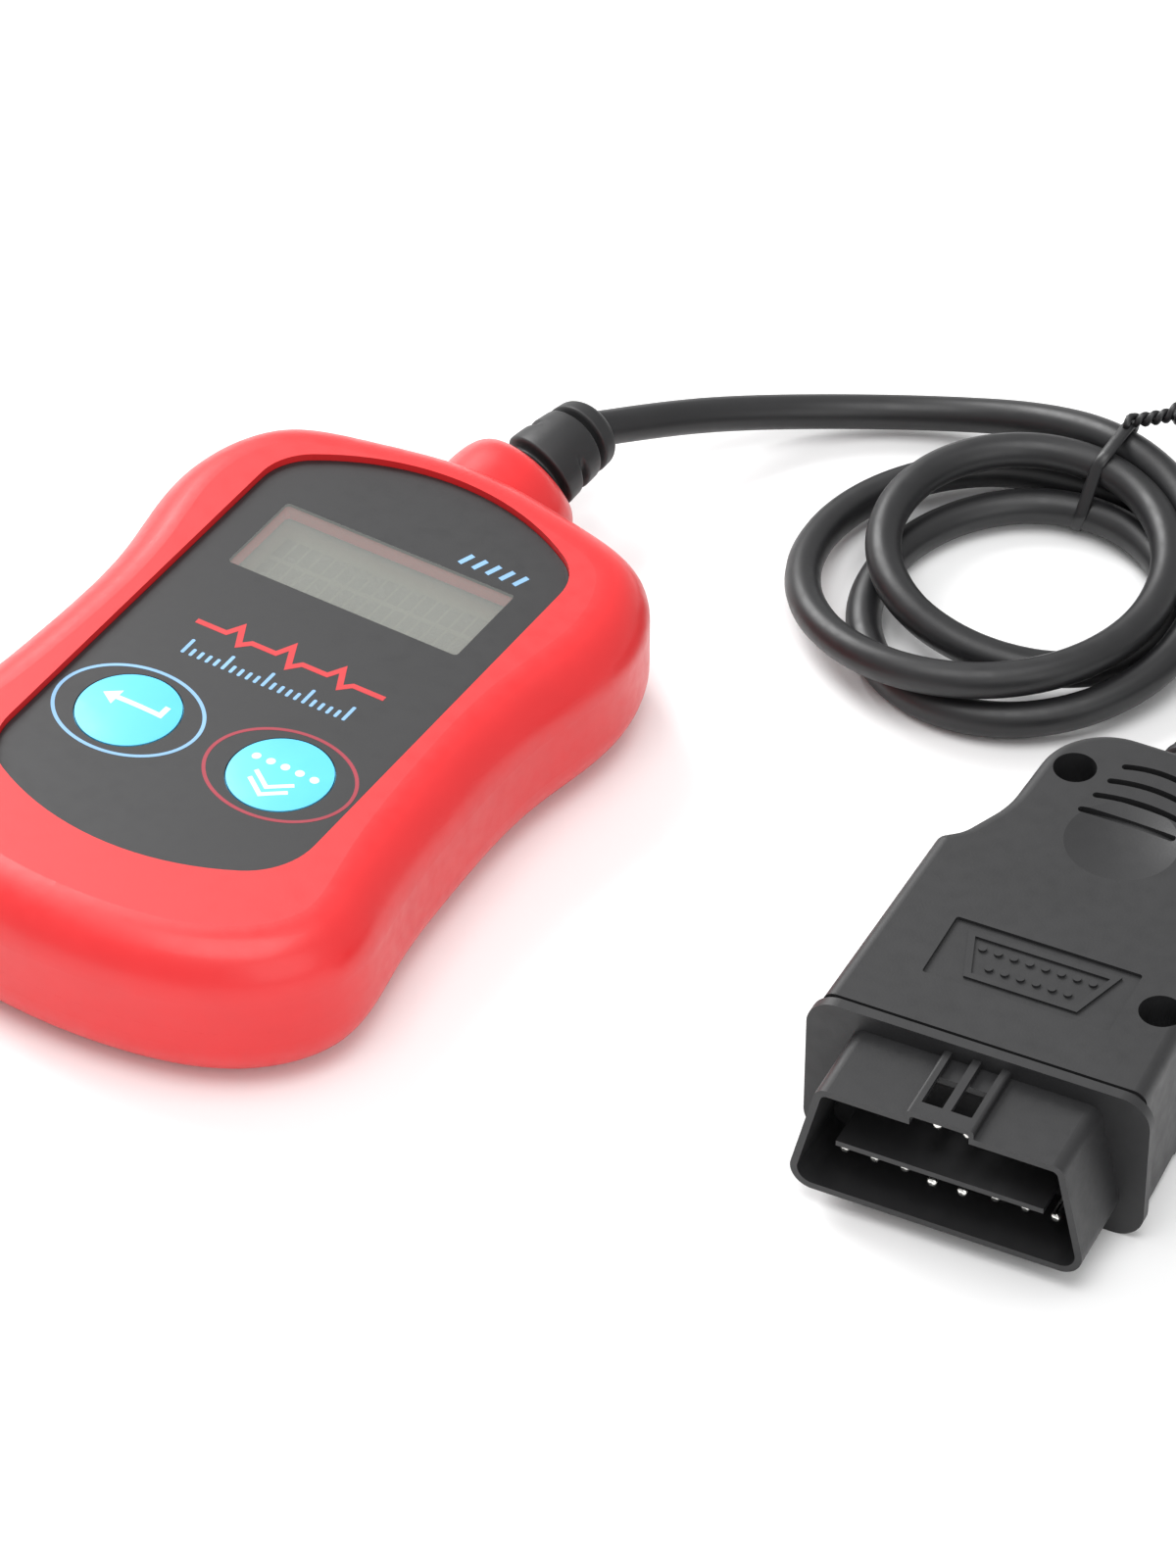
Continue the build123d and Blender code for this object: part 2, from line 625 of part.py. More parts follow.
# ---------------------------------------------------------------- plug
def shroud_outline():
    outline = polygon(
        [
            (-SHROUD_NARROW, SHROUD_TOP_Z),
            (SHROUD_NARROW, SHROUD_TOP_Z),
            (SHROUD_WIDE, SHROUD_BOTTOM_Z),
            (-SHROUD_WIDE, SHROUD_BOTTOM_Z),
        ]
    )
    outline = fillet(outline.vertices().group_by(Axis.Y)[-1], radius=1.8)
    return fillet(outline.vertices().group_by(Axis.Y)[0], radius=3.0)


def keyway(width, low, high):
    block = Pos(0, (low + high) / 2) * Rectangle(width, high - low)
    return fillet(block.vertices().group_by(Axis.Y)[-1], radius=0.5)


def contact_places():
    return [((i - 3.5) * CONTACT_PITCH, z) for z in CONTACT_ROWS for i in range(8)]


def plug_connector():
    """Flange, D-shaped shroud with its keyway and slots, dividing blade, and the contact block."""
    key_top = SHROUD_TOP_Z + KEYWAY_RISE
    outer = shroud_outline() + keyway(2 * KEYWAY_HALF_WIDTH, SHROUD_TOP_Z - 2, key_top)
    inner = offset(shroud_outline(), amount=-SHROUD_WALL)
    inner_key = keyway(2 * KEYWAY_HALF_WIDTH - 1.2, SHROUD_TOP_Z - 3, key_top - 0.75)
    flange = Pos(0, PLUG_MID_Z) * RectangleRounded(FLANGE_WIDTH, PLUG_HEIGHT, FLANGE_CORNER)
    body = prism_y(outer, 0, SHROUD_DEPTH)
    body += prism_y(flange, SHROUD_DEPTH, FLANGE_BACK)
    body -= prism_y(inner, -PAST, SHROUD_DEPTH - 0.6)
    body -= prism_y(inner_key, -PAST, KEYWAY_END)
    for side in (-1, 1):
        x = side * (KEYWAY_RIB_HALF_WIDTH + KEYWAY_SLOT_WIDTH / 2)
        slot_y = (KEYWAY_SLOT_START + KEYWAY_END) / 2
        slot_length = KEYWAY_END - KEYWAY_SLOT_START
        body -= box(x, slot_y, KEYWAY_SLOT_WIDTH, slot_length, SHROUD_TOP_Z - 3, key_top + PAST)
        step_y = (KEYWAY_END + SHROUD_DEPTH) / 2
        body -= box(x, step_y, KEYWAY_SLOT_WIDTH, SHROUD_DEPTH - KEYWAY_END, SHROUD_TOP_Z, key_top + PAST)
    half_blade = DIVIDER_THICKNESS / 2
    body += box(0, 7.0, 2 * DIVIDER_HALF_WIDTH, 12.4, DIVIDER_Z - half_blade, DIVIDER_Z + half_blade)
    block = Pos(0, PLUG_MID_Z) * RectangleRounded(34, 15.5, 1.5)
    body += prism_y(block, FLANGE_BACK - 0.5, CONTACT_BLOCK_END)
    for x, z in contact_places():
        body -= cylinder_y(x, z, CONTACT_RADIUS, CONTACT_TIP * 2, CONTACT_BLOCK_END + 2)
    return in_plug(body)


def plug_contacts():
    """Sixteen pins; the two ground pins in the middle of the lower row reach further forward."""
    pins = []
    for x, z in contact_places():
        ground = z == CONTACT_ROWS[0] and abs(x) < CONTACT_PITCH
        tip = GROUND_CONTACT_TIP if ground else CONTACT_TIP
        pin = cylinder_y(x, z, CONTACT_RADIUS, tip, CONTACT_TAIL)
        pin = fillet(pin.edges().group_by(Axis.Y)[0], radius=0.55)
        pins.append(in_plug(pin))
    return Compound(children=pins)


def shell_plan():
    """The plug's grip from above: a wide box, stepped in to a narrower tail with round corners."""
    half = [(21.6, 8.0), (20.3, 46.5), (17.8, 48.6), (14.6, 55.5), (13.5, PLUG_END)]
    points = half + [(-x, y) for x, y in reversed(half)]
    plan = polygon(points)
    for level, radius in ((46.5, 1.5), (48.6, 5.0), (55.5, 14.0), (PLUG_END, 9.5)):
        corners = [v for v in plan.vertices() if abs(v.Y - level) < 0.01]
        plan = fillet(corners, radius=radius)
    return plan


def grip():
    """Both halves of the plug's shell as one hollow body."""
    plan = shell_plan()
    outside = rounded_block(plan, 0, PLUG_HEIGHT, SHELL_EDGE_RADIUS, SHELL_EDGE_RADIUS)
    inside = prism(offset(plan, amount=-PLUG_WALL), PLUG_WALL, PLUG_HEIGHT - PLUG_WALL)
    shell = outside - inside
    shell -= box(0, 0, 60, 2 * FLANGE_BACK, -PAST, PLUG_HEIGHT + PAST)
    lip = RectangleRounded(SHELL_LIP_WIDTH, PLUG_HEIGHT - 2 * SHELL_SEAM, SHELL_EDGE_RADIUS - 0.3)
    seam = prism_y(Rectangle(60, 60), FLANGE_BACK - PAST, FLANGE_BACK + SHELL_SEAM)
    shell -= seam - prism_y(Pos(0, PLUG_MID_Z) * lip, FLANGE_BACK - 2 * PAST, FLANGE_BACK + PAST)
    return shell - cylinder_y(0, PLUG_MID_Z, RELIEF_NECK, RELIEF_FLANGE_Y, PLUG_END + PAST)


def plug_post(x, y, low, high):
    return cylinder_z(x, y, PLUG_POST_RADIUS, low, high) & prism(shell_plan(), 0, PLUG_HEIGHT)


def plug_upper_shell():
    """The top half: screw wells, a framed label pocket, a thumb hollow and curved grip grooves."""
    shell = grip() & box(0, 40, 80, 100, PLUG_MID_Z, PLUG_HEIGHT + PAST)
    for x, y in PLUG_SCREWS:
        shell += plug_post(x, y, PLUG_MID_Z, PLUG_HEIGHT - PAST)
        shell -= cylinder_z(x, y, PLUG_SCREW_BORE, PLUG_SCREW_SEAT, PLUG_HEIGHT + PAST)
        shell -= cylinder_z(x, y, PLUG_SCREW_RADIUS + 0.3, 0, PLUG_HEIGHT + PAST)
    label = Pos(*PLUG_LABEL_AT) * RectangleRounded(*PLUG_LABEL, 0.4)
    shell -= prism(label, PLUG_HEIGHT - PLUG_LABEL_DEPTH, PLUG_HEIGHT + PAST)
    shell -= Pos(*THUMB_AT, PLUG_HEIGHT + THUMB_RADIUS - THUMB_DEPTH) * Sphere(THUMB_RADIUS)
    for i in range(GRIP_GROOVES):
        y = GRIP_GROOVE_Y + i * GRIP_GROOVE_PITCH
        reach = 6.1 - 0.65 * i
        left, right = GRIP_GROOVE_X - reach, GRIP_GROOVE_X + reach
        line = ThreePointArc((left, y - 0.3), (GRIP_GROOVE_X, y + 0.4), (right, y - 0.3))
        shell -= prism(SlotArc(line, 1.0), PLUG_HEIGHT - GRIP_GROOVE_DEPTH, PLUG_HEIGHT + PAST)
    return in_plug(shell)


def plug_lower_shell():
    shell = grip() & box(0, 40, 80, 100, -PAST, PLUG_MID_Z)
    for x, y in PLUG_SCREWS:
        shell += plug_post(x, y, PAST, PLUG_MID_Z)
        shell -= cylinder_z(x, y, PLUG_SCREW_RADIUS, PLUG_SCREW_END_Z - 0.6, PLUG_HEIGHT)
    return in_plug(shell)


def plug_screws():
    """Two cross-slotted screws, driven in from the top at the bottom of their wells."""
    screws = []
    for x, y in PLUG_SCREWS:
        slot_low = PLUG_SCREW_SEAT + 0.8
        head = cylinder_z(x, y, 2.5, PLUG_SCREW_SEAT, PLUG_SCREW_SEAT + 1.8)
        head = fillet(head.edges().group_by(Axis.Z)[-1], radius=0.4)
        head -= box(x, y, 3.0, 0.6, slot_low, slot_low + 2)
        head -= box(x, y, 0.6, 3.0, slot_low, slot_low + 2)
        head += cylinder_z(x, y, PLUG_SCREW_RADIUS, PLUG_SCREW_END_Z, PLUG_SCREW_SEAT)
        screws.append(in_plug(head))
    return Compound(children=screws)


def plug_strain_relief():
    """A short ribbed sleeve with a flange held inside the shells."""
    wall_y = PLUG_END - PLUG_WALL - 0.05
    relief = cylinder_y(0, PLUG_MID_Z, 5.4, RELIEF_FLANGE_Y, wall_y)
    relief += cylinder_y(0, PLUG_MID_Z, RELIEF_NECK - 0.05, wall_y, PLUG_END + 0.2)
    pitch = RELIEF_LENGTH / RELIEF_RINGS
    for i in range(RELIEF_RINGS):
        start = PLUG_END + i * pitch
        outer = RELIEF_START + (RELIEF_END - RELIEF_START) * i / (RELIEF_RINGS - 1)
        relief += cylinder_y(0, PLUG_MID_Z, outer, start + 0.1, start + pitch * 0.72)
        relief += cylinder_y(0, PLUG_MID_Z, RELIEF_CORE_RADIUS, start, start + pitch)
    return in_plug(relief)


def plug_wires():
    """Power, ground, two network lines and the diagnostic line, from their contacts to the cable."""
    wires = []
    for (x, z), (across, up) in zip(PLUG_WIRED, wire_ends()):
        route = [
            (x, CONTACT_TAIL, z),
            (x, CONTACT_TAIL + 5.0, z),
            (across, PLUG_JACKET_END - 7.0, PLUG_MID_Z + up),
            (across, PLUG_JACKET_END, PLUG_MID_Z + up),
        ]
        wires.append(in_plug(tube(route, 3.0, WIRE_RADIUS)))
    return Compound(children=wires)


# ---------------------------------------------------------------- cable
def bend_radii(route):
    """The largest arc that each corner's two runs allow, for an even, natural bend."""
    radii = []
    for before, corner, after in zip(route, route[1:], route[2:]):
        arriving = Vector(*corner) - Vector(*before)
        leaving = Vector(*after) - Vector(*corner)
        turn = radians(arriving.get_angle(leaving))
        radii.append(0.45 * min(arriving.length, leaving.length) / tan(turn / 2))
    return radii


def cord_tube(name, route):
    radii = bend_radii(route)
    solid = tube(route, radii, CORD_RADIUS)
    length = FilletPolyline(*route, radius=radii).length
    expected = length * pi * CORD_RADIUS**2
    print(name, "bend radii", [round(r, 1) for r in radii], "length", round(length, 1))
    print(name, "volume", round(solid.volume, 1), "section times length", round(expected, 1))
    return solid


def cord_coil():
    """The outer shape of the loose coil."""
    ring = cylinder_z(*COIL_CENTRE, COIL_OUTER, 0, COIL_HEIGHT)
    ring -= cylinder_z(*COIL_CENTRE, COIL_INNER, -PAST, COIL_HEIGHT + PAST)
    return fillet(ring.edges().filter_by(GeomType.CIRCLE), radius=COIL_EDGE_RADIUS)


def coil_tie():
    """A twist tie: a band round the strands, with its two ends twisted together on top."""
    place = Plane.YZ * Pos(TIE_Y, TIE_HEIGHT / 2)
    opening = (TIE_LENGTH - 2 * TIE_THICKNESS, TIE_HEIGHT - 2 * TIE_THICKNESS)
    section = place * RectangleRounded(TIE_LENGTH, TIE_HEIGHT, 5.0) - place * RectangleRounded(*opening, 3.8)
    band = Pos(TIE_X, 0, 0) * extrude(section, amount=TIE_WIDTH / 2, both=True)
    twist = Plane(origin=TIE_TWIST_START, z_dir=TIE_TWIST_HEADING) * Circle(TIE_TWIST_RADIUS)
    return band + extrude(twist, amount=TIE_TWIST_LENGTH)


# ---------------------------------------------------------------- every node
def handset_parts():
    shell = whole_shell()
    parts = {
        "front_cover": front_cover(shell),
        "rear_cover": rear_cover(shell),
        "rear_label": prism(label_plan(), LABEL_LOW, LABEL_HIGH),
        "keypad_overlay": keypad_overlay(),
        "display_window": prism(window_plan(), RECESS_Z, OVERLAY_Z),
        "main_board": main_board(),
        "lcd_board": lcd_board(),
        "lcd_pin_header": lcd_pin_header(),
        "lcd_backlight": box(0, WINDOW_Y, GLASS_WIDTH, GLASS_HEIGHT, BACKLIGHT_Z, GLASS_Z),
        "lcd_glass": box(0, WINDOW_Y, GLASS_WIDTH, GLASS_HEIGHT, GLASS_Z, GLASS_TOP_Z),
        "lcd_bezel": lcd_bezel(),
        "crystal": crystal(),
        "voltage_regulator": voltage_regulator(),
        "capacitors": capacitors(),
        "chip_passives": chip_passives(),
        "cable_socket": cable_socket(),
        "cable_socket_plug": cable_socket_plug(),
        "handset_wires": handset_wires(),
        "handset_cable_end": cylinder_y(0, NECK_Z, CORD_RADIUS, JACKET_Y, BOOT_FLANGE_Y),
        "strain_relief": strain_relief(),
        "case_screws": case_screws(),
        "board_screws": board_screws(),
    }
    for name, place in CHIPS.items():
        parts[name] = chip(*place)
    for name, side in (("enter", -1), ("scroll", 1)):
        parts[name + "_key"] = key_cap(side)
        parts[name + "_switch_plunger"] = switch_plunger(side)
        parts[name + "_switch_base"] = switch_base(side)
    return parts


def cable_parts():
    jacket_end = cylinder_y(0, PLUG_MID_Z, CORD_RADIUS, PLUG_JACKET_END, RELIEF_FLANGE_Y)
    return {
        "plug_connector": plug_connector(),
        "plug_contacts": plug_contacts(),
        "plug_upper_shell": plug_upper_shell(),
        "plug_lower_shell": plug_lower_shell(),
        "plug_screws": plug_screws(),
        "plug_strain_relief": plug_strain_relief(),
        "plug_wires": plug_wires(),
        "plug_cable_end": in_plug(jacket_end),
        "cord_lead": cord_tube("cord_lead", LEAD_ROUTE),
        "cord_coil": cord_coil(),
        "cord_tail": cord_tube("cord_tail", TAIL_ROUTE),
        "coil_tie": coil_tie(),
    }


os.makedirs("parts", exist_ok=True)
for node, solid in {**handset_parts(), **cable_parts()}.items():
    export_step(solid, f"parts/{node}.step")
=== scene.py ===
from math import cos, exp, hypot, pi, radians, sin, sqrt

import bmesh
import bpy
from mathutils import Matrix, Vector


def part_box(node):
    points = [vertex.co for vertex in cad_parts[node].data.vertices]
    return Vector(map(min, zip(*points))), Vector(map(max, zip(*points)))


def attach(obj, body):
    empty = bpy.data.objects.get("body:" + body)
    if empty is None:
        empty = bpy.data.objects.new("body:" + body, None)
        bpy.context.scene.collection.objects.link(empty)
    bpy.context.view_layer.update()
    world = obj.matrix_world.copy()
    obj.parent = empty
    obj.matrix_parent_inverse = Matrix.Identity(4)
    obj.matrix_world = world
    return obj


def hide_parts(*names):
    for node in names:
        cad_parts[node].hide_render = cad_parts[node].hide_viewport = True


# Looks of the OBD code reader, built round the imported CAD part. Helpers take millimetres and make metres.
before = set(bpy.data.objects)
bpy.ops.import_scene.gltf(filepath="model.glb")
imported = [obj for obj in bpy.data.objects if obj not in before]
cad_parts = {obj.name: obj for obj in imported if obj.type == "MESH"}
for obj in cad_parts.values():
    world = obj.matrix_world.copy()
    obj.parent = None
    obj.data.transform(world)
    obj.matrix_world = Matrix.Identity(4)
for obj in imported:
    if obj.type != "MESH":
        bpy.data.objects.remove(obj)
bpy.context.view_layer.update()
MM = 0.001


# ------------------------------------------------------------------ camera, floor and light
CAMERA_AZIMUTH = 31.81
CAMERA_ELEVATION = 41.68
CAMERA_ROLL = 0.37
CAMERA_DISTANCE = 1.0022
CAMERA_LENS = 176.2
CAMERA_TARGET = Vector((0.0324, 0.01521, -0.0013))
STUDIO_CENTRE = Vector((0.04, 0.01, 0.0))
WORLD_STRENGTH = 0.62
FLOOR_HALF_WIDTH = 4.0


def link(obj):
    bpy.context.scene.collection.objects.link(obj)
    return obj


def add_camera():
    azimuth, elevation, roll = (radians(v) for v in (CAMERA_AZIMUTH, CAMERA_ELEVATION, CAMERA_ROLL))
    back = Vector((sin(azimuth) * cos(elevation), -cos(azimuth) * cos(elevation), sin(elevation)))
    right = Vector((cos(azimuth), sin(azimuth), 0))
    up = back.cross(right)
    x_axis = right * cos(roll) + up * sin(roll)
    y_axis = up * cos(roll) - right * sin(roll)
    camera = link(bpy.data.objects.new("camera", bpy.data.cameras.new("camera")))
    camera.data.lens = CAMERA_LENS
    camera.data.clip_start = 0.05
    camera.matrix_world = Matrix.Translation(CAMERA_TARGET + back * CAMERA_DISTANCE) @ Matrix(
        (x_axis, y_axis, back)
    ).transposed().to_4x4()
    bpy.context.scene.camera = camera


def add_softbox(name, azimuth, elevation, distance, size, power):
    """A square area light that faces the studio's centre. Azimuth 0 stands in front, 90 at the right."""
    a, e = radians(azimuth), radians(elevation)
    away = Vector((sin(a) * cos(e), -cos(a) * cos(e), sin(e)))
    light = link(bpy.data.objects.new(name, bpy.data.lights.new(name, "AREA")))
    light.data.size = size
    light.data.energy = power
    light.location = STUDIO_CENTRE + away * distance
    light.rotation_euler = away.to_track_quat("Z", "Y").to_euler()


def add_studio():
    bpy.context.scene.view_settings.view_transform = "Standard"
    world = bpy.data.worlds.new("studio")
    world.use_nodes = True
    background = world.node_tree.nodes["Background"]
    background.inputs["Color"].default_value = (1.0, 1.0, 1.0, 1)
    background.inputs["Strength"].default_value = WORLD_STRENGTH
    bpy.context.scene.world = world
    add_softbox("key_light", -112, 38, 1.3, 0.7, 15.0)
    add_softbox("top_light", 20, 80, 1.3, 0.9, 9.0)
    add_softbox("fill_light", 60, 30, 1.5, 1.0, 5.0)
    mesh = bpy.data.meshes.new("floor")
    half = FLOOR_HALF_WIDTH
    corners = [(-half, -half, 0), (half, -half, 0), (half, half, 0), (-half, half, 0)]
    mesh.from_pydata(corners, [], [(0, 1, 2, 3)])
    floor = link(bpy.data.objects.new("floor", mesh))
    floor.location = STUDIO_CENTRE
    material = bpy.data.materials.new("floor")
    material.use_nodes = True
    shader = material.node_tree.nodes["Principled BSDF"]
    shader.inputs["Base Color"].default_value = (0.93, 0.93, 0.93, 1)
    shader.inputs["Roughness"].default_value = 0.9
    shader.inputs["Specular IOR Level"].default_value = 0.1
    mesh.materials.append(material)


# ------------------------------------------------------------------ materials
def mixed_colour(tree, factor, low, high):
    mix = tree.nodes.new("ShaderNodeMix")
    mix.data_type = "RGBA"
    mix.inputs["A"].default_value = (*low, 1)
    mix.inputs["B"].default_value = (*high, 1)
    tree.links.new(factor, mix.inputs["Factor"])
    return mix.outputs["Result"]


def noise(tree, scale, detail=3.0):
    """A noise value over the object's own space, in features per metre."""
    place = tree.nodes.new("ShaderNodeTexCoord")
    made = tree.nodes.new("ShaderNodeTexNoise")
    made.inputs["Scale"].default_value = scale
    made.inputs["Detail"].default_value = detail
    tree.links.new(place.outputs["Object"], made.inputs["Vector"])
    return made.outputs["Fac"]


def ranged(tree, value, low, high):
    """Spreads a noise value, which stays mostly between 0.3 and 0.7, over low to high."""
    made = tree.nodes.new("ShaderNodeMapRange")
    made.inputs["From Min"].default_value = 0.3
    made.inputs["From Max"].default_value = 0.7
    made.inputs["To Min"].default_value = low
    made.inputs["To Max"].default_value = high
    tree.links.new(value, made.inputs["Value"])
    return made.outputs["Result"]


def surface(name, colour, roughness, grain=0.0, grain_scale=2600, mottle=0.05, mottle_scale=90,
            spread=0.05, metallic=0.0, coat=0.0, coat_roughness=0.15, specular=0.5, alpha=1.0,
            transmission=0.0):
    """A moulded, extruded or plated surface: uneven colour and gloss, and a fine raised grain in metres."""
    material = bpy.data.materials.new(name)
    material.use_nodes = True
    tree = material.node_tree
    shader = tree.nodes["Principled BSDF"]
    low = tuple(c * (1 - mottle) for c in colour)
    high = tuple(min(1.0, c * (1 + mottle)) for c in colour)
    cloud = ranged(tree, noise(tree, mottle_scale), 0.0, 1.0)
    tree.links.new(mixed_colour(tree, cloud, low, high), shader.inputs["Base Color"])
    gloss = ranged(tree, noise(tree, mottle_scale * 5), max(0.02, roughness - spread), roughness + spread)
    tree.links.new(gloss, shader.inputs["Roughness"])
    if grain:
        bump = tree.nodes.new("ShaderNodeBump")
        bump.inputs["Strength"].default_value = 1.0
        bump.inputs["Distance"].default_value = grain
        tree.links.new(noise(tree, grain_scale, 2.0), bump.inputs["Height"])
        tree.links.new(bump.outputs["Normal"], shader.inputs["Normal"])
    shader.inputs["Metallic"].default_value = metallic
    shader.inputs["Coat Weight"].default_value = coat
    shader.inputs["Coat Roughness"].default_value = coat_roughness
    shader.inputs["Specular IOR Level"].default_value = specular
    shader.inputs["Alpha"].default_value = alpha
    shader.inputs["Transmission Weight"].default_value = transmission
    return material


RED = surface("red_abs", (0.70, 0.019, 0.022), 0.40, grain=6e-6, grain_scale=3200, mottle=0.03, coat=0.12)
FILM = surface("overlay_film", (0.014, 0.014, 0.015), 0.45, grain=5e-6, grain_scale=5200, mottle=0.06)
# Painted reflection: the window's grey base colour at 0.30 alpha lays a painted whitish veil of reflected
# light over what lies behind it.
WINDOW = surface("window_acrylic", (0.36, 0.37, 0.35), 0.06, mottle=0.02, spread=0.02, alpha=0.30)
CYAN = surface("key_cyan", (0.10, 0.55, 0.84), 0.42, grain=5e-6, grain_scale=4200, mottle=0.04, coat=0.15)
PLUG = surface("plug_abs", (0.016, 0.016, 0.017), 0.48, grain=9e-6, grain_scale=3000, mottle=0.10)
JACKET = surface("cable_pvc", (0.012, 0.012, 0.013), 0.42, grain=7e-6, grain_scale=1500, mottle=0.12)
BOOT = surface("boot_pvc", (0.013, 0.013, 0.014), 0.50, grain=9e-6, grain_scale=2400, mottle=0.12)
TIE = surface("tie_pvc", (0.011, 0.011, 0.012), 0.38, grain=5e-6, grain_scale=2600, mottle=0.10)
LCD = surface("lcd_cell", (0.22, 0.23, 0.18), 0.22, mottle=0.04, mottle_scale=70, spread=0.05)
LCD_SEGMENT = surface("lcd_segment", (0.165, 0.172, 0.14), 0.25, mottle=0.04)
BLUE_INK = surface("ink_light_blue", (0.22, 0.42, 0.66), 0.55, grain=3e-6, grain_scale=6000, mottle=0.08)
RED_INK = surface("ink_red", (0.56, 0.028, 0.034), 0.55, grain=3e-6, grain_scale=6000, mottle=0.08)
DARK_RED_INK = surface("ink_dark_red", (0.32, 0.026, 0.045), 0.55, grain=3e-6, grain_scale=6000, mottle=0.08)
WHITE_INK = surface("ink_white", (0.72, 0.88, 0.93), 0.5, grain=3e-6, grain_scale=6000, mottle=0.04)
GREY_INK = surface("ink_grey", (0.30, 0.30, 0.31), 0.6, grain=3e-6, grain_scale=6000, mottle=0.05)
LABEL = surface("label_paper", (0.74, 0.74, 0.72), 0.55, grain=4e-6, grain_scale=5000, mottle=0.03)
TINNED = surface("bright_tin", (0.82, 0.81, 0.78), 0.16, mottle=0.05, spread=0.06, metallic=1.0)
STEEL = surface("zinc_steel", (0.36, 0.36, 0.37), 0.34, grain=4e-6, mottle=0.10, metallic=1.0)
BOARD = surface("solder_mask", (0.015, 0.13, 0.05), 0.30, mottle=0.35, mottle_scale=420, coat=0.3)
CHIP = surface("chip_epoxy", (0.020, 0.020, 0.022), 0.55, grain=8e-6, mottle=0.10)
CAN = surface("capacitor_can", (0.70, 0.70, 0.72), 0.30, mottle=0.05, metallic=1.0)
CERAMIC = surface("ceramic_chip", (0.36, 0.27, 0.18), 0.5, mottle=0.20, mottle_scale=700)
NYLON = surface("natural_nylon", (0.74, 0.71, 0.62), 0.45, grain=5e-6, mottle=0.05)
WIRE = surface("wire_pvc", (0.45, 0.05, 0.04), 0.42, mottle=0.10)
LIGHT_GUIDE = surface("light_guide", (0.70, 0.74, 0.62), 0.5, mottle=0.04)

NODE_MATERIALS = {
    RED: ["front_cover", "rear_cover"],
    LABEL: ["rear_label"],
    FILM: ["keypad_overlay"],
    WINDOW: ["display_window"],
    BOARD: ["main_board", "lcd_board"],
    CHIP: ["lcd_pin_header", "microcontroller", "bus_transceiver", "memory_chip", "voltage_regulator",
           "enter_switch_base", "scroll_switch_base"],
    LIGHT_GUIDE: ["lcd_backlight"],
    LCD: ["lcd_glass"],
    STEEL: ["lcd_bezel", "crystal", "case_screws", "board_screws", "plug_screws"],
    CAN: ["capacitors"],
    CERAMIC: ["chip_passives"],
    NYLON: ["cable_socket", "cable_socket_plug", "enter_switch_plunger", "scroll_switch_plunger"],
    WIRE: ["handset_wires", "plug_wires"],
    BOOT: ["strain_relief", "plug_strain_relief"],
    PLUG: ["plug_connector", "plug_upper_shell", "plug_lower_shell"],
    TINNED: ["plug_contacts"],
    JACKET: ["handset_cable_end", "plug_cable_end", "cord_lead", "cord_coil", "cord_tail"],
    TIE: ["coil_tie"],
    CYAN: ["enter_key", "scroll_key"],
}


def dress_nodes():
    for material, names in NODE_MATERIALS.items():
        for name in names:
            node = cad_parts[name]
            if not node.material_slots:
                node.data.materials.append(material)
            for place in node.material_slots:
                place.material = material


# ------------------------------------------------------------------ mesh helpers
def piece(name, points, faces, material, body, slot, smooth=True):
    """A mesh object from points in millimetres, which rides on a body."""
    mesh = bpy.data.meshes.new(name)
    mesh.from_pydata([Vector(p) * MM for p in points], [], faces)
    made = bmesh.new()
    made.from_mesh(mesh)
    bmesh.ops.remove_doubles(made, verts=made.verts, dist=1e-7)
    bmesh.ops.recalc_face_normals(made, faces=made.faces)
    made.to_mesh(mesh)
    made.free()
    mesh.materials.append(material)
    mesh.polygons.foreach_set("use_smooth", [smooth] * len(mesh.polygons))
    obj = link(bpy.data.objects.new(name, mesh))
    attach(obj, body)
    return obj


def joined_shapes(shapes):
    """Several (points, faces) as one."""
    points, faces = [], []
    for shape_points, shape_faces in shapes:
        first = len(points)
        points += shape_points
        faces += [tuple(first + i for i in face) for face in shape_faces]
    return points, faces


def plate(outline, low, high):
    """A flat plate from a convex or gently curved outline; low and high are heights, or functions of x, y."""
    count = len(outline)
    heights = [h if callable(h) else (lambda x, y, h=h: h) for h in (low, high)]
    points = [(x, y, height(x, y)) for height in heights for x, y in outline]
    sides = [(i, (i + 1) % count, count + (i + 1) % count, count + i) for i in range(count)]
    return points, [tuple(reversed(range(count))), tuple(range(count, 2 * count)), *sides]


def strip(line, width, low, high, closed=False):
    """A band of even width along a line of points, with mitred corners, as a thin solid."""
    line = [Vector(p) for p in line]
    count = len(line)
    sides = []
    for i, at in enumerate(line):
        before = line[i - 1] if i or closed else None
        after = line[(i + 1) % count] if i < count - 1 or closed else None
        into = (at - before).normalized() if before is not None else (after - at).normalized()
        out = (after - at).normalized() if after is not None else into
        mean = (into + out).normalized()
        reach = width / 2 / max(0.35, mean.dot(into))
        normal = Vector((-mean.y, mean.x)) * reach
        sides.append((at + normal, at - normal))
    heights = [h if callable(h) else (lambda x, y, h=h: h) for h in (low, high)]
    points = [(p.x, p.y, height(p.x, p.y)) for height in heights for pair in sides for p in pair]
    faces = []
    for i in range(count if closed else count - 1):
        a, b = 2 * i, 2 * ((i + 1) % count)
        up = 2 * count
        faces += [(a, b, b + 1, a + 1), (up + a, up + a + 1, up + b + 1, up + b)]
        faces += [(a, up + a, up + b, b), (a + 1, b + 1, up + b + 1, up + a + 1)]
    if not closed:
        up, last = 2 * count, 2 * count - 2
        faces += [(0, 1, up + 1, up), (last, up + last, up + last + 1, last + 1)]
    return points, faces


def disc(x, y, radius, low, high, count=24):
    angles = [2 * pi * i / count for i in range(count)]
    return plate([(x + radius * cos(a), y + radius * sin(a)) for a in angles], low, high)


